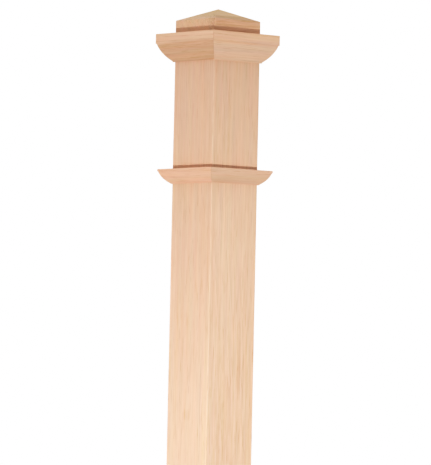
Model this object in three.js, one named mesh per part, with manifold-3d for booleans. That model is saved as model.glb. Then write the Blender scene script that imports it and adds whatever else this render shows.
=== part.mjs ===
// Box newel post of bare sanded oak, in millimetres, +Z up.
// The origin is the middle of the foot. The front face looks along -Y.
// Four mitred boards make a hollow square shaft. A block with a low four-sided point closes it.
// Mitred strips of moulding run round the joint of block and shaft, and round the neck below it.

import * as THREE from "three";
import { mergeVertices } from "three/addons/utils/BufferGeometryUtils.js";
import Module from "manifold-3d";

const wasm = await Module();
wasm.setup();

const INCH = 25.4;

// Corners closer than this are one corner when a solid is cut
const sameCorner = 1e-5;

// Post and shaft
const postHeight = 55 * INCH;
const shaftWidth = 3.5 * INCH;
const boardThickness = 0.75 * INCH;
const arrisRadius = 1.6;
const arrisSteps = 2;

// Facets along a board, so that a handrail's seat is a face clear of the mouldings
const boardSteps = 16;

// Glue line left open between pieces that meet side by side
const jointGap = 0.3;

// Cap block: its point, the upright band under the slopes, and what the cap moulding hides
const pointRise = 18;
const bandHeight = 20.1;
const blockSeatDepth = 12.7;

// Cap moulding, worked from 13/16 x 1-5/8 in stock
const capMoulding = {
  height: 41.3,
  projection: 20.6,
  fascia: 15,
  quirk: 1.2,
  lip: 2.5,
  lipHeight: 1.2,
  swell: 2.3,
};

// Neck moulding, a smaller strip of the same shape, below a plain frieze
const friezeHeight = 6.25 * INCH;
const neckMoulding = {
  height: 21.4,
  projection: 16.1,
  fascia: 3.3,
  quirk: 0.8,
  lip: 2,
  lipHeight: 0.6,
  swell: 1.9,
};
const swellSteps = 8;

// Colours of the bare wood, one for each kind of piece
const shaftColour = 0xe8c9a8;
const capColour = 0xdcb793;
const mouldingColour = 0xe0bc98;

const halfWidth = shaftWidth / 2;
const blockHeight = pointRise + bandHeight + blockSeatDepth;
const boardLength = postHeight - blockHeight;
const capMouldingTop = postHeight - pointRise - bandHeight;
const neckMouldingTop = capMouldingTop - capMoulding.height - friezeHeight;

// Each of two mitred ends stands back by half of the gap, measured square to the mitre
const mitreSetback = jointGap / Math.SQRT2;

const sides = { right: 0, back: Math.PI / 2, left: Math.PI, front: -Math.PI / 2 };

function bareOak(colour) {
  return new THREE.MeshStandardMaterial({ color: colour, roughness: 0.6, metalness: 0 });
}

function manifoldOf(geometry) {
  const merged = geometry.clone();
  merged.deleteAttribute("normal");
  merged.deleteAttribute("uv");
  const indexed = mergeVertices(merged, sameCorner);
  const mesh = new wasm.Mesh({
    numProp: 3,
    vertProperties: new Float32Array(indexed.attributes.position.array),
    triVerts: new Uint32Array(indexed.index.array),
  });
  return new wasm.Manifold(mesh);
}

function geometryOf(manifold) {
  const mesh = manifold.getMesh();
  const geometry = new THREE.BufferGeometry();
  geometry.setAttribute("position", new THREE.BufferAttribute(mesh.vertProperties, 3));
  geometry.setIndex(new THREE.BufferAttribute(mesh.triVerts, 1));
  geometry.computeVertexNormals();
  return geometry;
}

// Plan of the board that faces +X: a trapezoid with 45 degree ends and half of each rounded arris
function boardPlan() {
  const inner = halfWidth - boardThickness;
  const centre = halfWidth - arrisRadius;
  const arrisEnd = Math.acos(jointGap / 2 / arrisRadius) - Math.PI / 4;
  const plan = new THREE.Shape();
  plan.absarc(centre, -centre, arrisRadius, -arrisEnd, 0, false);
  plan.absarc(centre, centre, arrisRadius, 0, arrisEnd, false);
  plan.lineTo(inner, inner - mitreSetback);
  plan.lineTo(inner, mitreSetback - inner);
  plan.closePath();
  return plan;
}

function shaftBoard() {
  return new THREE.ExtrudeGeometry(boardPlan(), {
    depth: boardLength,
    steps: boardSteps,
    curveSegments: arrisSteps,
    bevelEnabled: false,
  });
}

// Square with rounded corners, as wide as the shaft
function blockPlan() {
  const centre = halfWidth - arrisRadius;
  const plan = new THREE.Shape();
  for (let corner = 0; corner < 4; corner += 1) {
    const start = (corner * Math.PI) / 2;
    const towards = start + Math.PI / 4;
    const x = centre * Math.SQRT2 * Math.cos(towards);
    const y = centre * Math.SQRT2 * Math.sin(towards);
    plan.absarc(x, y, arrisRadius, start, start + Math.PI / 2, false);
  }
  plan.closePath();
  return plan;
}

// Prism along Y under two slopes that fall from a middle ridge by pointRise over half of the width
function gable() {
  const reach = shaftWidth;
  const fall = (pointRise / halfWidth) * reach;
  const section = new THREE.Shape();
  section.moveTo(-reach, -reach);
  section.lineTo(reach, -reach);
  section.lineTo(reach, blockHeight - fall);
  section.lineTo(0, blockHeight);
  section.lineTo(-reach, blockHeight - fall);
  section.closePath();
  const prism = new THREE.ExtrudeGeometry(section, { depth: 2 * reach, bevelEnabled: false });
  prism.translate(0, 0, -reach);
  prism.rotateX(Math.PI / 2);
  return prism;
}

function capBlock() {
  const upright = new THREE.ExtrudeGeometry(blockPlan(), {
    depth: blockHeight,
    curveSegments: 2 * arrisSteps,
    bevelEnabled: false,
  });
  const across = gable();
  const along = gable().rotateZ(Math.PI / 2);
  const pointed = manifoldOf(upright).intersect(manifoldOf(across)).intersect(manifoldOf(along));
  return geometryOf(pointed);
}

// Section of a moulding: x stands out from the shaft's face, y falls from the moulding's top.
// A flat fascia steps in by the quirk, then a shallow swelled face runs in to a small lip.
function mouldingSection(size) {
  const start = new THREE.Vector2(size.projection - size.quirk, -size.fascia);
  const end = new THREE.Vector2(size.lip, size.lipHeight - size.height);
  const chord = end.clone().sub(start);
  const halfChord = chord.length() / 2;
  const radius = (halfChord * halfChord + size.swell * size.swell) / 2 / size.swell;
  const inward = new THREE.Vector2(chord.y, -chord.x).normalize();
  const middle = start.clone().add(end).multiplyScalar(0.5);
  const centre = middle.addScaledVector(inward, radius - size.swell);
  const startAngle = start.clone().sub(centre).angle();
  const endAngle = end.clone().sub(centre).angle();
  const section = new THREE.Shape();
  section.moveTo(jointGap, 0);
  section.lineTo(jointGap, -size.height);
  section.lineTo(size.lip, -size.height);
  section.absarc(centre.x, centre.y, radius, endAngle, startAngle, false);
  section.lineTo(size.projection, -size.fascia);
  section.lineTo(size.projection, 0);
  section.closePath();
  return section;
}

// Strip on the +X side, with both ends cut so that each layer is as long as its own square
function mouldingStrip(size) {
  const strip = new THREE.ExtrudeGeometry(mouldingSection(size), {
    depth: 1,
    curveSegments: swellSteps,
    bevelEnabled: false,
  });
  const position = strip.attributes.position;
  for (let i = 0; i < position.count; i += 1) {
    const reach = halfWidth + position.getX(i) - mitreSetback;
    position.setZ(i, position.getZ(i) > 0 ? reach : -reach);
  }
  strip.rotateX(Math.PI / 2);
  strip.translate(halfWidth, 0, 0);
  strip.computeVertexNormals();
  return strip;
}

// Four like pieces, one on each side of the post, with the foot of each at the given height
function aroundPost(name, geometry, height, material) {
  const ring = new THREE.Group();
  for (const [side, turn] of Object.entries(sides)) {
    const piece = new THREE.Mesh(geometry, material);
    piece.name = `${name}_${side}`;
    piece.rotation.z = turn;
    piece.position.z = height;
    ring.add(piece);
  }
  return ring;
}

const newelPost = new THREE.Group();
newelPost.name = "newel_post";
newelPost.add(aroundPost("shaft_board", shaftBoard(), 0, bareOak(shaftColour)));

const block = new THREE.Mesh(capBlock(), bareOak(capColour));
block.name = "cap_block";
block.position.z = boardLength;
newelPost.add(block);

const mouldingOak = bareOak(mouldingColour);
newelPost.add(aroundPost("cap_moulding", mouldingStrip(capMoulding), capMouldingTop, mouldingOak));
newelPost.add(aroundPost("neck_moulding", mouldingStrip(neckMoulding), neckMouldingTop, mouldingOak));

export default newelPost;
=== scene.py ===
from math import cos, pi, radians, sin

import bpy
import numpy as np
from mathutils import Euler, Matrix, Vector


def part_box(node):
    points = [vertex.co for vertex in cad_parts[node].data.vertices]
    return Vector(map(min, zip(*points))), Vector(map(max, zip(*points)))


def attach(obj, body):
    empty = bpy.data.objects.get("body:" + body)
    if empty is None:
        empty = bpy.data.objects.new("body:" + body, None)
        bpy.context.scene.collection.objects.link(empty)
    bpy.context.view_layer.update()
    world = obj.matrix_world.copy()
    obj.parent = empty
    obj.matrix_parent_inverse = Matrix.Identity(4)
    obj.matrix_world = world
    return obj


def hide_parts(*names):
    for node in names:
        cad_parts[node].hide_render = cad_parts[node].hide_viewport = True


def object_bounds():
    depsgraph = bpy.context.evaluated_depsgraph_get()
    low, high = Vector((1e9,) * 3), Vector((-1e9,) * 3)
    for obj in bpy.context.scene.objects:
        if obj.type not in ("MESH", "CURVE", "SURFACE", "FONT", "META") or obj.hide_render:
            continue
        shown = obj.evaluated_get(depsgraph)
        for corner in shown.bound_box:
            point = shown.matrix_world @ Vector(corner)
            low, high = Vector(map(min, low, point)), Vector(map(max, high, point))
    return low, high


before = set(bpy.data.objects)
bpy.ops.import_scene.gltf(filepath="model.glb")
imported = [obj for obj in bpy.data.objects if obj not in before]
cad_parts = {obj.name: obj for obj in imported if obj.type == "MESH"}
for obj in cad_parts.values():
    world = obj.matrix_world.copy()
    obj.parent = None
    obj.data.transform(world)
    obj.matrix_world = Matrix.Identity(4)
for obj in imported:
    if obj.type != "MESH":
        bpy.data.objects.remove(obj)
cad_low, cad_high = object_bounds()
mm = 0.001

# Shaft
# Four boards of red oak, mitred along both long edges and glued round a square hollow.
# Their faces are sanded flat along the grain, the corners eased by hand, the foot cross-cut square.
# Each board is a tree of its own, so the grain changes at every corner.

quarter_turns = {"right": 0, "back": 1, "left": 2, "front": 3}
board_low, board_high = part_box("shaft_board_right")
half_width = board_high.x
board_thickness = board_high.x - board_low.x
board_length = board_high.z - board_low.z
glue_line = 0.05 * mm
arris_radius = 1.0 * mm
edge_hold = 0.15 * mm
end_chamfer = 0.4 * mm
station_spacing = 12 * mm
sharp_angle = radians(32)

# The waves of the hand easing: depth as a share of the radius, length in metres, start per corner
easing_waves = [(0.14, 0.37, 2.1), (0.08, 0.113, 1.3)]


def eased(corners, radii, closed=True, steps=6):
    """An outline through the corners, as an array of points. A corner with a radius becomes an arc that
    touches both of its lines: from the touching point it goes radius times sine of the angle along the
    line in, and radius times one minus cosine across it. A point stands the edge hold before and after
    each arc, so that the straight parts shade flat. A corner with no radius stays one point."""
    corners, radii = np.array(corners, float), np.array(radii, float)
    into = corners - np.roll(corners, 1, axis=0)
    out = np.roll(corners, -1, axis=0) - corners
    if not closed:
        into[0], out[-1] = out[0], into[-1]
    into /= np.linalg.norm(into, axis=1, keepdims=True)
    out /= np.linalg.norm(out, axis=1, keepdims=True)
    across = np.stack([-into[:, 1], into[:, 0]], axis=1)
    turn = np.arctan2((across * out).sum(1), (into * out).sum(1))
    setback = (radii * np.tan(abs(turn) / 2))[:, None, None]
    angle = abs(turn)[:, None] * np.linspace(0, 1, steps + 1)
    across *= np.sign(turn)[:, None]
    swing = np.sin(angle)[..., None] * into[:, None] + (1 - np.cos(angle))[..., None] * across[:, None]
    arcs = corners[:, None] - setback * into[:, None] + radii[:, None, None] * swing
    rest = np.where(radii > 0, edge_hold, 0)[:, None, None]
    before = arcs[:, :1] - rest * into[:, None]
    after = arcs[:, -1:] + rest * out[:, None]
    points = np.concatenate([before, arcs, after], axis=1).reshape(-1, 2)
    gap = np.linalg.norm(points - np.roll(points, 1, axis=0), axis=1)
    return points[gap > 1e-8]


def inset(outline, depth):
    """The closed outline moved inwards by the depth, each point against the mean of the normals of its
    two edges."""
    edge = np.roll(outline, -1, axis=0) - outline
    normal = np.stack([edge[:, 1], -edge[:, 0]], axis=1)
    normal /= np.linalg.norm(normal, axis=1, keepdims=True)
    mean = normal + np.roll(normal, 1, axis=0)
    return outline - depth * mean / np.linalg.norm(mean, axis=1, keepdims=True)


def wood_piece(name, rings, material):
    """A closed skin over rings of points, an array of rows by points by three. Each ring is joined to the
    next by four-sided faces, and one many-sided face closes each end."""
    rows, count, _ = rings.shape
    index = np.arange(rows * count).reshape(rows, count)
    beside = np.roll(index, -1, axis=1)
    sides = np.stack([index[:-1], beside[:-1], beside[1:], index[1:]], axis=-1).reshape(-1, 4)
    ends = [index[0][::-1].tolist(), index[-1].tolist()]
    mesh = bpy.data.meshes.new(name)
    mesh.from_pydata(rings.reshape(-1, 3), [], sides.tolist() + ends)
    mesh.shade_smooth()
    mesh.set_sharp_from_angle(angle=sharp_angle)
    mesh.materials.append(material)
    piece = bpy.data.objects.new(name, mesh)
    bpy.context.scene.collection.objects.link(piece)
    return piece


def turned(points, quarter):
    """The points turned about the post's axis by that many quarter turns, to the left seen from above."""
    c, s = [(1, 0), (0, 1), (-1, 0), (0, -1)][quarter]
    x, y, z = points[..., 0], points[..., 1], points[..., 2]
    return np.stack([c * x - s * y, s * x + c * y, z], axis=-1)


def hand_easing(z, corner):
    """How much a corner is eased at each height, as a share of its radius: one, and two sine waves of
    unlike lengths, which start at another place on each corner of the post."""
    share = 1
    for wave, length, start in easing_waves:
        share = share + wave * np.sin(2 * pi * z / length + start * corner)
    return share


def shaft_board(name, quarter, material):
    """One board: its section, a trapezoid with 45 degree ends, carried up the post. Near each outer
    corner the section grows or shrinks about that corner with the hand easing at that height."""
    inner = half_width - board_thickness
    share = glue_line / 2**0.5
    tip = np.array([half_width, half_width])
    arris_angle = np.linspace(0, pi / 4, 7)
    arc = tip + arris_radius * (np.stack([np.cos(arris_angle), np.sin(arris_angle)], axis=1) - 1)
    flat = tip - [0, arris_radius + edge_hold]
    mitre = np.array([[half_width - 3 * arris_radius, half_width - 3 * arris_radius], [inner, inner]])
    upper = np.concatenate([flat[None], arc, mitre]) - [0, share]
    lower = upper[::-1] * [1, -1]
    section = np.concatenate([lower, upper])
    heights = np.linspace(end_chamfer, board_length - end_chamfer, int(board_length / station_spacing))
    corner = np.sign(section[:, 1])[:, None] * [0, 1] * (half_width - share) + [half_width, 0]
    near = np.linalg.norm(section - corner, axis=1) < 2.5 * arris_radius
    first, second = [hand_easing(heights[:, None], corner) for corner in (quarter, quarter + 1)]
    ease = np.where(section[:, 1] > 0, second, first)
    layers = corner + (section - corner) * np.where(near, ease, 1)[..., None]
    end_layer = inset(section, end_chamfer)[None]
    layers = np.concatenate([end_layer, layers, end_layer])
    heights = np.concatenate([[0], heights, [board_length]]) + board_low.z
    z = np.broadcast_to(heights[:, None, None], layers.shape[:2] + (1,))
    rings = np.concatenate([layers, z], axis=-1)
    return wood_piece(name, turned(rings, quarter), material)


def linear(code):
    """A linear colour with alpha from an sRGB hex code such as E0B890."""
    value = np.array([int(code[i:i + 2], 16) for i in (0, 2, 4)]) / 255
    return (*np.where(value <= 0.04045, value / 12.92, ((value + 0.055) / 1.055) ** 2.4), 1)


def add(tree, kind, *values, sockets=(), **settings):
    """Adds a node and gives its outputs. Its inputs take the values in order, and those of sockets by
    name. Each is a number, a vector or the output that it is linked to. settings are its properties."""
    node = tree.nodes.new("ShaderNode" + kind)
    for name, value in settings.items():
        setattr(node, name, value)
    for socket, value in [*enumerate(values), *dict(sockets).items()]:
        if isinstance(value, bpy.types.NodeSocket):
            tree.links.new(value, node.inputs[socket])
        else:
            node.inputs[socket].default_value = value
    return node.outputs


# Machine-sanded bare red oak: matt pinkish tan. The year rings show as straight lines, slightly
# darker and redder than the wood between, and the open pores as short fine dashes along the grain.
ring_spacing = 2.1 * mm
bend = Vector((12, 12, 0)) * mm
darker_wood = (0.62, 0.84, 1.05)
tint_range = Vector((0.17, 0.09, 0.14))
white = Vector((1, 1, 1))
grain_turn = {"Z": (0, 0, 0), "X": (0, -pi / 2, 0), "Y": (pi / 2, 0, 0)}
wood_ior = 1.45
wood_roughness = 0.6
pore_roughness = 0.2

# Late wood begins and is full at these shares of a ring from the ring's middle, and pores begin and
# are full at these levels of their noise. Pores are sunk by the whole relief, late wood by a share.
late_wood = (0.15, 0.5)
open_pore = (0.52, 0.68)
relief_depth = 0.08 * mm
relief_strength = 0.4
late_relief = 0.3

# How far each part of the figure reaches across the grain and along it in mm, and how fine its noise
# is. Real pores are 0.3 mm wide, and are drawn three times as wide, so that they show.
figure = {
    "bend": (60, 500, 2),
    "years": (5, 700, 3),
    "flecks": (2.2, 55, 2),
    "patches": (60, 300, 2),
    "pores": (1.0, 22, 1),
    "tint": (8, 110, 2),
}
depth = {"years": 0.26, "flecks": 0.26, "patches": 0.18, "late": -0.05, "pores": -0.22}

# The figure is bold up to this height, and grows plainer from there to the top of the post
bold_height = 0.75
bold, plain = 1.6, 0.8

# A mark fades between these shares of its size, and the flecks make its edge ragged
mark_edge = (1.7, 1.1)
mark_raggedness = 1.2


def sanded_oak(name, colour, grain, centre, heart, drift, marks=()):
    """A solid piece of oak of that mean colour. centre is the piece's middle, grain the axis that its
    fibres run along, and heart the middle's place across the fibres from the tree's heart. Rings are
    shells round the heart, so long faces show lines, and end grain shows arcs. drift slides the
    pattern along the fibres. A mark is a soft ellipsoid of paler or deeper wood, or of painted shade,
    which adds its tone. Its size is in mm."""
    material = bpy.data.materials.new(name)
    material.use_nodes = True
    tree = material.node_tree
    shader = tree.nodes["Principled BSDF"]

    place = add(tree, "TexCoord")["Object"]
    turn = Euler(grain_turn[grain]).to_matrix()
    shift = Vector((heart[0], heart[1], drift)) - turn @ centre
    log = add(tree, "Mapping", place, shift, grain_turn[grain])[0]

    noise = {}
    shell = log
    for part, (across, along, fineness) in figure.items():
        field = shell if part == "years" else log
        span = Vector((across, across, along)) * mm
        stretched = add(tree, "VectorMath", field, span, operation="DIVIDE")[0]
        noise[part] = add(tree, "TexNoise", stretched, sockets={"Scale": 1, "Detail": fineness})
        if part == "bend":
            bent = add(tree, "VectorMath", noise[part]["Color"], bend, log, operation="MULTIPLY_ADD")[0]
            across_fibres = add(tree, "VectorMath", bent, (1, 1, 0), operation="MULTIPLY")[0]
            radius = add(tree, "VectorMath", across_fibres, operation="LENGTH")["Value"]
            height = add(tree, "SeparateXYZ", log)["Z"]
            shell = add(tree, "CombineXYZ", radius, 0, height)[0]

    year = add(tree, "Math", radius, ring_spacing, operation="DIVIDE")[0]
    late = add(tree, "Math", year, operation="FRACT")[0]
    late = add(tree, "Math", late, -0.5, operation="ADD")[0]
    late = add(tree, "Math", late, operation="ABSOLUTE")[0]
    late = add(tree, "MapRange", late, *late_wood, interpolation_type="SMOOTHSTEP")[0]
    pores = add(tree, "MapRange", noise["pores"][0], *open_pore, interpolation_type="SMOOTHSTEP")[0]
    pores = add(tree, "Math", pores, late, operation="MULTIPLY")[0]

    shown = {part: noise[part][0] for part in ("years", "flecks", "patches")}
    level = -sum(depth[part] for part in shown) / 2
    for part, amount in {**shown, "late": late, "pores": pores}.items():
        level = add(tree, "Math", amount, depth[part], level, operation="MULTIPLY_ADD")[0]
    above_foot = add(tree, "SeparateXYZ", place)["Z"]
    boldness = add(tree, "MapRange", above_foot, bold_height, cad_high.z, bold, plain)[0]
    level = add(tree, "Math", level, boldness, operation="MULTIPLY")[0]

    tone = add(tree, "VectorMath", noise["tint"]["Color"], tint_range, white - tint_range / 2,
               operation="MULTIPLY_ADD")[0]
    tone = add(tree, "VectorMath", level, darker_wood, tone, operation="MULTIPLY_ADD")[0]
    for mark in marks:
        offset = add(tree, "VectorMath", place, mark["at"], operation="SUBTRACT")[0]
        share = add(tree, "VectorMath", offset, Vector(mark["size"]) * mm, operation="DIVIDE")[0]
        reach = add(tree, "VectorMath", share, operation="LENGTH")["Value"]
        ragged = add(tree, "Math", noise["flecks"][0], mark_raggedness, reach, operation="MULTIPLY_ADD")[0]
        inside = add(tree, "MapRange", ragged, *mark_edge, interpolation_type="SMOOTHSTEP")[0]
        tone = add(tree, "VectorMath", inside, mark["tone"], tone, operation="MULTIPLY_ADD")[0]
    wood = add(tree, "VectorMath", tone, linear(colour)[:3], operation="MULTIPLY")[0]
    tree.links.new(wood, shader.inputs["Base Color"])

    relief = add(tree, "Math", late, -late_relief, operation="MULTIPLY")[0]
    relief = add(tree, "Math", pores, -1, relief, operation="MULTIPLY_ADD")[0]
    bump_sockets = {"Strength": relief_strength, "Distance": relief_depth, "Height": relief}
    bump = add(tree, "Bump", sockets=bump_sockets)[0]
    tree.links.new(bump, shader.inputs["Normal"])
    roughness = add(tree, "Math", pores, pore_roughness, wood_roughness, operation="MULTIPLY_ADD")[0]
    tree.links.new(roughness, shader.inputs["Roughness"])
    shader.inputs["IOR"].default_value = wood_ior
    return material


# Each board is of its own cut. The one in front is browner below, with a paler right edge and a short
# dark streak above half height. The one on the left is paler below, with creamy sapwood along the
# lower part of its front edge, a dark hairline and a pin knot.
shaft_cuts = {
    "right": dict(colour="D9B69E", heart=(0.05, 0.16), drift=0.3),
    "back": dict(colour="DCB9A1", heart=(0.12, 0.09), drift=4.1),
    "left": dict(colour="E0B9A2", heart=(0.10, 0.12), drift=7.7),
    "front": dict(colour="D8B49D", heart=(0.17, 0.04), drift=2.2),
}
shaft_marks = {
    "left": [
        dict(at=(-half_width, 0, 0.3), size=(100, 300, 800), tone=(0.03, 0.03, 0.03)),
        dict(at=(-half_width, -0.039, 0.2), size=(30, 12, 800), tone=(0.12, 0.145, 0.10)),
        dict(at=(-half_width, -0.0285, 0.83), size=(30, 2.5, 60), tone=(-0.12, -0.14, -0.16)),
        dict(at=(-half_width, 0.001, 0.797), size=(20, 9, 10), tone=(-0.05, -0.07, -0.09)),
    ],
    "front": [
        dict(at=(0, -half_width, 0.3), size=(300, 100, 800), tone=(-0.06, -0.06, -0.06)),
        dict(at=(half_width, -half_width, 0.75), size=(13, 30, 400), tone=(0.06, 0.06, 0.06)),
        dict(at=(0.0164, -half_width, 0.86), size=(2.5, 10, 50), tone=(-0.06, -0.08, -0.10)),
    ],
}
for side, cut in shaft_cuts.items():
    node = f"shaft_board_{side}"
    low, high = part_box(node)
    marks = shaft_marks.get(side, ())
    oak = sanded_oak(
        f"sanded_red_oak_{node}", cut["colour"], "Z", (low + high) / 2, cut["heart"], cut["drift"], marks
    )
    board = shaft_board(f"oak_{node}", quarter_turns[side], oak)
    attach(board, "root")
    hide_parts(node)

# Cap block
# One block of oak with its grain across the post, glued and pinned on the ends of the boards.
# Its top is sawn to a low four-sided point, and every edge is taken off lightly with paper.

block_low, block_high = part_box("cap_block")
point_rise = 18 * mm
eave_radius = 0.8 * mm
tip_radius = 2.5 * mm
tip_width = 0.1 * mm


def pointed_block(name, material):
    """The block: a square with round corners at each height. Its half width follows an eased line up
    the side, over the eave and in to the point. Its corner radius is that of the shaft's arrises, and
    near the point 0.8 of the half width."""
    top = block_high.z
    eave = top - point_rise
    line = [(half_width, block_low.z), (half_width, eave), (0, top), (-half_width, eave)]
    profile = eased(line, [0, eave_radius, tip_radius, 0], closed=False, steps=8)
    profile = profile[profile[:, 0] > tip_width]
    profile = np.concatenate([[[half_width - end_chamfer, block_low.z]], profile])
    profile[1, 1] += end_chamfer
    half, height = profile[:, :1], profile[:, 1:]
    corner = np.minimum(arris_radius, 0.8 * half)
    angle = np.linspace(0, pi / 2, 9)
    hold = np.minimum(edge_hold, 0.3 * (half - corner))
    x = half - corner + np.concatenate([corner, corner * np.cos(angle), 0 * corner], axis=1)
    y = half - corner + np.concatenate([0 * corner, corner * np.sin(angle), corner], axis=1)
    x[:, -1:] -= hold
    y[:, :1] -= hold
    side = np.stack([x, y, np.broadcast_to(height, x.shape)], axis=-1)
    rings = np.concatenate([turned(side, quarter) for quarter in range(4)], axis=1)
    return wood_piece(name, rings, material)


# The wood is browner towards the point, and most of all along its front edge
block_marks = [
    dict(at=(0, 0, block_high.z), size=(80, 80, 27), tone=(-0.12, -0.10, -0.24)),
    dict(at=(0, -half_width, block_high.z), size=(150, 22, 45), tone=(-0.15, -0.17, -0.20)),
]
block_middle = (block_low + block_high) / 2
block_oak = sanded_oak(
    "sanded_red_oak_cap_block", "DEB9A0", "X", block_middle, (0.06, 0.07), 1.4, block_marks
)
cap_block = pointed_block("oak_cap_block", block_oak)
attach(cap_block, "root")
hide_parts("cap_block")

# Mouldings
# Two runs of oak strip, each of one profile: a flat fascia, a small quirk under it, a shallow swelled
# face and a small lip. The four strips of a run are mitred at the corners, glued and pinned to the
# shaft. Each strip is its own piece of wood, with the grain along it.

cap_profile = {"fascia": 15, "quirk": 1.2, "lip": 2.5, "lip_height": 1.2, "swell": 2.3, "easing": 0.7}
neck_profile = {"fascia": 3.3, "quirk": 0.8, "lip": 2.0, "lip_height": 0.6, "swell": 1.9, "easing": 0.5}
mitre_line = 0.12 * mm
mitre_chamfer = 0.12 * mm


def moulding_section(size, projection, height):
    """Section of a strip, outwards from the shaft and upwards from its foot. The swelled face is the arc
    that stands out of its chord by the swell, so its radius is (half chord squared + swell squared) over
    twice the swell."""
    size = {key: value * mm for key, value in size.items()}
    start = np.array([size["lip"], size["lip_height"]])
    end = np.array([projection - size["quirk"], height - size["fascia"]])
    half_chord = np.linalg.norm(end - start) / 2
    radius = (half_chord**2 + size["swell"] ** 2) / 2 / size["swell"]
    spread = np.arcsin(half_chord / radius)
    along = (end - start) / 2 / half_chord
    outward = np.array([along[1], -along[0]])
    angle = np.linspace(-spread, spread, 25)[:, None]
    rise = radius * (np.cos(angle) - cos(spread))
    arc = (start + end) / 2 + radius * np.sin(angle) * along + rise * outward
    fascia_foot = [projection, height - size["fascia"]]
    corners = [[0, 0], [size["lip"], 0], *arc, fascia_foot, [projection, height], [0, height]]
    easing = size["easing"]
    radii = [0, easing / 2, *[0] * len(arc), easing / 2, easing, easing / 3]
    return eased(corners, radii)


def moulding_strip(name, quarter, section, foot, material):
    """One strip: its section carried along its side of the post. Each layer of the section runs as far
    as its own square, half the post's width plus how far it stands out, which makes 45 degree ends."""
    chamfered = inset(section, mitre_chamfer)
    layers = np.stack([chamfered, section, section, chamfered])
    reach = half_width + layers[..., 0] - mitre_line / 2**0.5
    inwards = np.array([0, mitre_chamfer, mitre_chamfer, 0])[:, None]
    y = np.array([1, 1, -1, -1])[:, None] * (reach - inwards)
    rings = np.stack([half_width + layers[..., 0], y, foot + layers[..., 1]], axis=-1)
    return wood_piece(name, turned(rings, quarter), material)


strip_cuts = {
    "cap_moulding": {
        "right": dict(colour="DCB79E", heart=(0.06, 0.05), drift=0.9),
        "back": dict(colour="DFBBA2", heart=(0.03, 0.09), drift=3.3),
        "left": dict(colour="E7BEA6", heart=(0.08, 0.04), drift=5.2),
        "front": dict(colour="E0B79E", heart=(0.05, 0.08), drift=8.8),
    },
    "neck_moulding": {
        "right": dict(colour="DCB8A0", heart=(0.07, 0.03), drift=6.1),
        "back": dict(colour="DAB59D", heart=(0.04, 0.05), drift=1.7),
        "left": dict(colour="E7B8A1", heart=(0.09, 0.05), drift=2.9),
        "front": dict(colour="D2AE98", heart=(0.06, 0.07), drift=7.3),
    },
}
# Painted shade: the swelled face of the cap's left strip is darkened for the shade it falls in under the
# fascia. That of the front one is of greyer wood
swell_shade_and_tint = {"cap_moulding_left": (-0.16, -0.18, -0.22), "cap_moulding_front": (-0.05, 0.01, 0.05)}
swell_middle = 10 * mm
for run, profile in (("cap_moulding", cap_profile), ("neck_moulding", neck_profile)):
    low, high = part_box(f"{run}_right")
    section = moulding_section(profile, high.x - half_width, high.z - low.z)
    for side, cut in strip_cuts[run].items():
        node = f"{run}_{side}"
        low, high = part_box(node)
        middle = (low + high) / 2
        grain = "Y" if side in ("left", "right") else "X"
        marks = []
        # The swell mark is painted shade on the cap's left strip and a greyer wood tint on the front one
        if node in swell_shade_and_tint:
            swell = (middle.x, middle.y, low.z + swell_middle)
            marks.append(dict(at=swell, size=(300, 300, 20), tone=swell_shade_and_tint[node]))
        oak = sanded_oak(
            f"moulded_red_oak_{node}", cut["colour"], grain, middle, cut["heart"], cut["drift"], marks
        )
        strip = moulding_strip(f"oak_{node}", quarter_turns[side], section, low.z, oak)
        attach(strip, "root")
        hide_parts(node)

# Studio
# A wide pale matt floor under soft light from overhead, which falls to nothing at the horizon. A
# narrow light and a broad one stand low in front of the post, and another stands behind it.

floor_half = 45.0
floor_drop = 0.1 * mm
lamp_distance = 3.4
floor_mesh = bpy.data.meshes.new("floor")
floor_corners = np.array([[-1, -1], [1, -1], [1, 1], [-1, 1]]) * floor_half
floor_mesh.from_pydata([(x, y, -floor_drop) for x, y in floor_corners], [], [(0, 1, 2, 3)])
floor = bpy.data.objects.new("floor", floor_mesh)
bpy.context.scene.collection.objects.link(floor)
paint = bpy.data.materials.new("matt_white_floor_paint")
paint.use_nodes = True
paint.node_tree.nodes["Principled BSDF"].inputs["Base Color"].default_value = linear("CAC8C5")
paint.node_tree.nodes["Principled BSDF"].inputs["Roughness"].default_value = 0.9
floor_mesh.materials.append(paint)
# The lights have flags, which keep them off the floor, so that no bright pool shows on it
flagged = bpy.data.collections.new("flagged_from_the_lights")
flagged.objects.link(floor)
flagged.collection_objects[0].light_linking.link_state = "EXCLUDE"


def soft_light(name, azimuth, height, tilt, size, spread, power, code):
    """A square light at that azimuth round the post, in degrees from the left face to the front one. It
    stands the lamp distance away at its own height, turned to the post's axis and tipped up by the tilt."""
    light = bpy.data.lights.new(name, "AREA")
    light.shape = "SQUARE"
    light.size = size
    light.spread = radians(spread)
    light.energy = power
    light.color = linear(code)[:3]
    lamp = bpy.data.objects.new(name, light)
    bpy.context.scene.collection.objects.link(lamp)
    turn = radians(azimuth)
    where = Matrix.Translation((-lamp_distance * cos(turn), -lamp_distance * sin(turn), height))
    tip = Matrix.Rotation(pi / 2 + radians(tilt), 4, "X")
    lamp.matrix_world = where @ Matrix.Rotation(turn - pi / 2, 4, "Z") @ tip
    lamp.visible_camera = False
    lamp.light_linking.receiver_collection = flagged


low_in_front = dict(azimuth=47, height=0.32, tilt=6.9, size=0.2, code="FFFCF8")
soft_light("key", spread=29, power=1.9, **low_in_front)
soft_light("front_fill", spread=120, power=14.8, **low_in_front)
soft_light("back_fill", azimuth=222, height=0.7, tilt=0, size=0.8, spread=120, power=14, code="FFFFFF")

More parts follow.
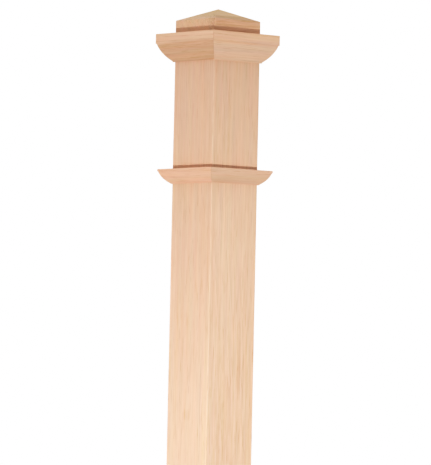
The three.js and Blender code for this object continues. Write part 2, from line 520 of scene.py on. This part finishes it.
horizon_light = 0.0
zenith_light = 1.12
world = bpy.data.worlds.new("white_studio")
bpy.context.scene.world = world
world.use_nodes = True
sky = world.node_tree
sky.nodes.clear()
direction = add(sky, "TexCoord")["Generated"]
height = add(sky, "SeparateXYZ", direction)["Z"]
strength = add(sky, "MapRange", height, 0, 1, horizon_light, zenith_light)[0]
lighting = add(sky, "Background", (1, 1, 1, 1), strength)[0]
seen = add(sky, "Background", (1, 1, 1, 1), 1)[0]
to_camera = add(sky, "LightPath")["Is Camera Ray"]
mixed = add(sky, "MixShader", to_camera, lighting, seen)[0]
add(sky, "OutputWorld", mixed)

# The photograph's contrast: its darks fall and its lights flatten towards white, which also makes
# the lit wood paler and the shadows more orange
contrast = 1.8
shoulder = 0.3
view = bpy.context.scene.view_settings
view.view_transform = "Standard"
view.use_curve_mapping = True
curve = view.curve_mapping.curves[3]
for scene_light in np.linspace(0.1, 0.9, 9):
    raised = scene_light**contrast
    curve.points.new(scene_light, (1 + shoulder) * raised / (raised + shoulder))
view.curve_mapping.update()

# Camera
# As in the photograph: a long lens 7 m away, a little above the post's middle, turned a little more
# to the front face, tipped up, and rolled so that the post leans right.

camera_azimuth = radians(49.004)
camera_distance = 7.0
camera_height = cad_high.z - 0.6275
camera_pitch = radians(2.431)
camera_yaw = radians(0.022)
camera_roll = radians(1.2066)
focal_pixels = 4750.6
long_side_pixels = 465

camera = bpy.data.cameras.new("camera")
camera.sensor_width = 36
camera.lens = focal_pixels * camera.sensor_width / long_side_pixels
camera.clip_end = 200
viewer = bpy.data.objects.new("camera", camera)
bpy.context.scene.collection.objects.link(viewer)
stand = (-camera_distance * cos(camera_azimuth), -camera_distance * sin(camera_azimuth), camera_height)
viewer.matrix_world = (
    Matrix.Translation(stand)
    @ Matrix.Rotation(camera_azimuth - camera_yaw - pi / 2, 4, "Z")
    @ Matrix.Rotation(pi / 2 + camera_pitch, 4, "X")
    @ Matrix.Rotation(camera_roll, 4, "Z")
)
bpy.context.scene.camera = viewer
